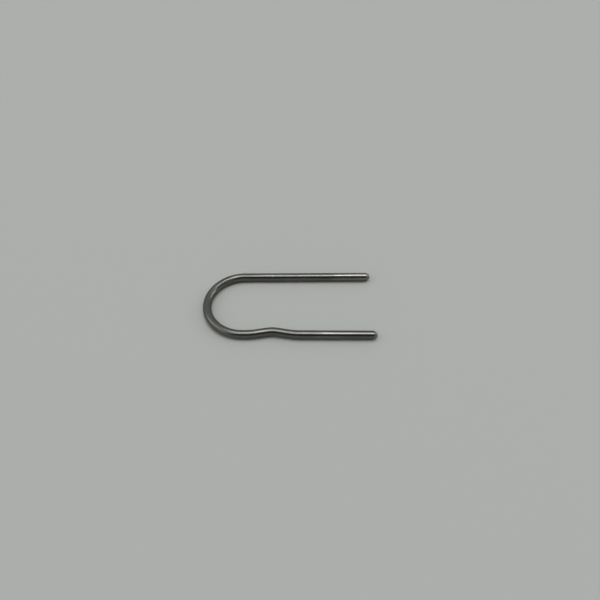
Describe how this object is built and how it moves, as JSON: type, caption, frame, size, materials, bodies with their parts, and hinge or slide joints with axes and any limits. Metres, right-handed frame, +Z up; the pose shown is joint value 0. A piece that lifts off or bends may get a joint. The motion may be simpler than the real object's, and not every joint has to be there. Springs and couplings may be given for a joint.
{
  "type": "fixing pin",
  "caption": "U-shaped fixing pin bent from round spring wire, with a shallow inward kink in one leg that snaps it home and bevelled tips.",
  "frame": {"origin": "under the middle of the pin's bounding box, on the surface that it lies on", "axes": "+X along the legs from the bend to the tips, +Y towards the plain leg, +Z up out of the plane of the U"},
  "size_m": [0.0404, 0.0198, 0.002],
  "materials": {
    "spring_wire": "cold-drawn stainless spring wire, semi-bright, with fine die lines along it"
  },
  "bodies": {
    "root": {"fixing_pin": "spring_wire"}
  },
  "joints": []
}
